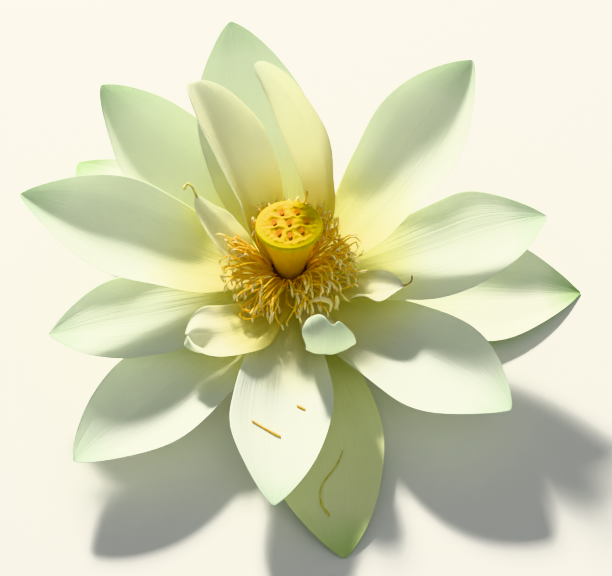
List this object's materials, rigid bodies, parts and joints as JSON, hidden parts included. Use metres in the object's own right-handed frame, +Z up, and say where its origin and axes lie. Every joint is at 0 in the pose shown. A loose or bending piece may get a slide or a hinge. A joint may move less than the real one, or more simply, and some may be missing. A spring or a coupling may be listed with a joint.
{
  "type": "lotus flower",
  "caption": "Open lotus flower: cream-white cupped tepals round a yellow cone-shaped receptacle with a ring of orange stamens, cut with a short stalk, resting on its lowest tepals.",
  "frame": {"origin": "on the surface that the bloom rests on, below the middle of its box", "axes": "+Z up out of the bloom along its own axis, +X to the bloom's right and +Y to its back when it is seen from its front"},
  "size_m": [0.2214, 0.2, 0.0943],
  "materials": {
    "tepal": "satin, slightly translucent, cream-white fading to pale yellow at the base",
    "outer_tepal": "satin, pale green fading to cream-white",
    "receptacle": "satin, waxy yellow",
    "stamens": "matte orange-yellow filaments and anthers with cream tips",
    "stalk": "satin green with fine prickles"
  },
  "bodies": {
    "root": {"stalk": "stalk", "receptacle": "receptacle", "tepal_outer_right": "outer_tepal", "tepal_outer_front": "outer_tepal", "tepal_outer_back_left": "outer_tepal", "tepal_back_left": "tepal", "tepal_front_left": "tepal", "tepal_front_right": "tepal", "tepal_front": "tepal", "tepal_left_low": "tepal", "tepal_right": "tepal", "tepal_left": "tepal", "tepal_back_right": "tepal", "tepal_back": "tepal", "tepal_inner_left": "tepal", "tepal_inner_right": "tepal", "tepal_small_back_left": "tepal", "tepal_small_front_left": "tepal", "tepal_small_front": "tepal", "tepal_small_right": "tepal", "stamens": "stamens"}
  },
  "joints": []
}
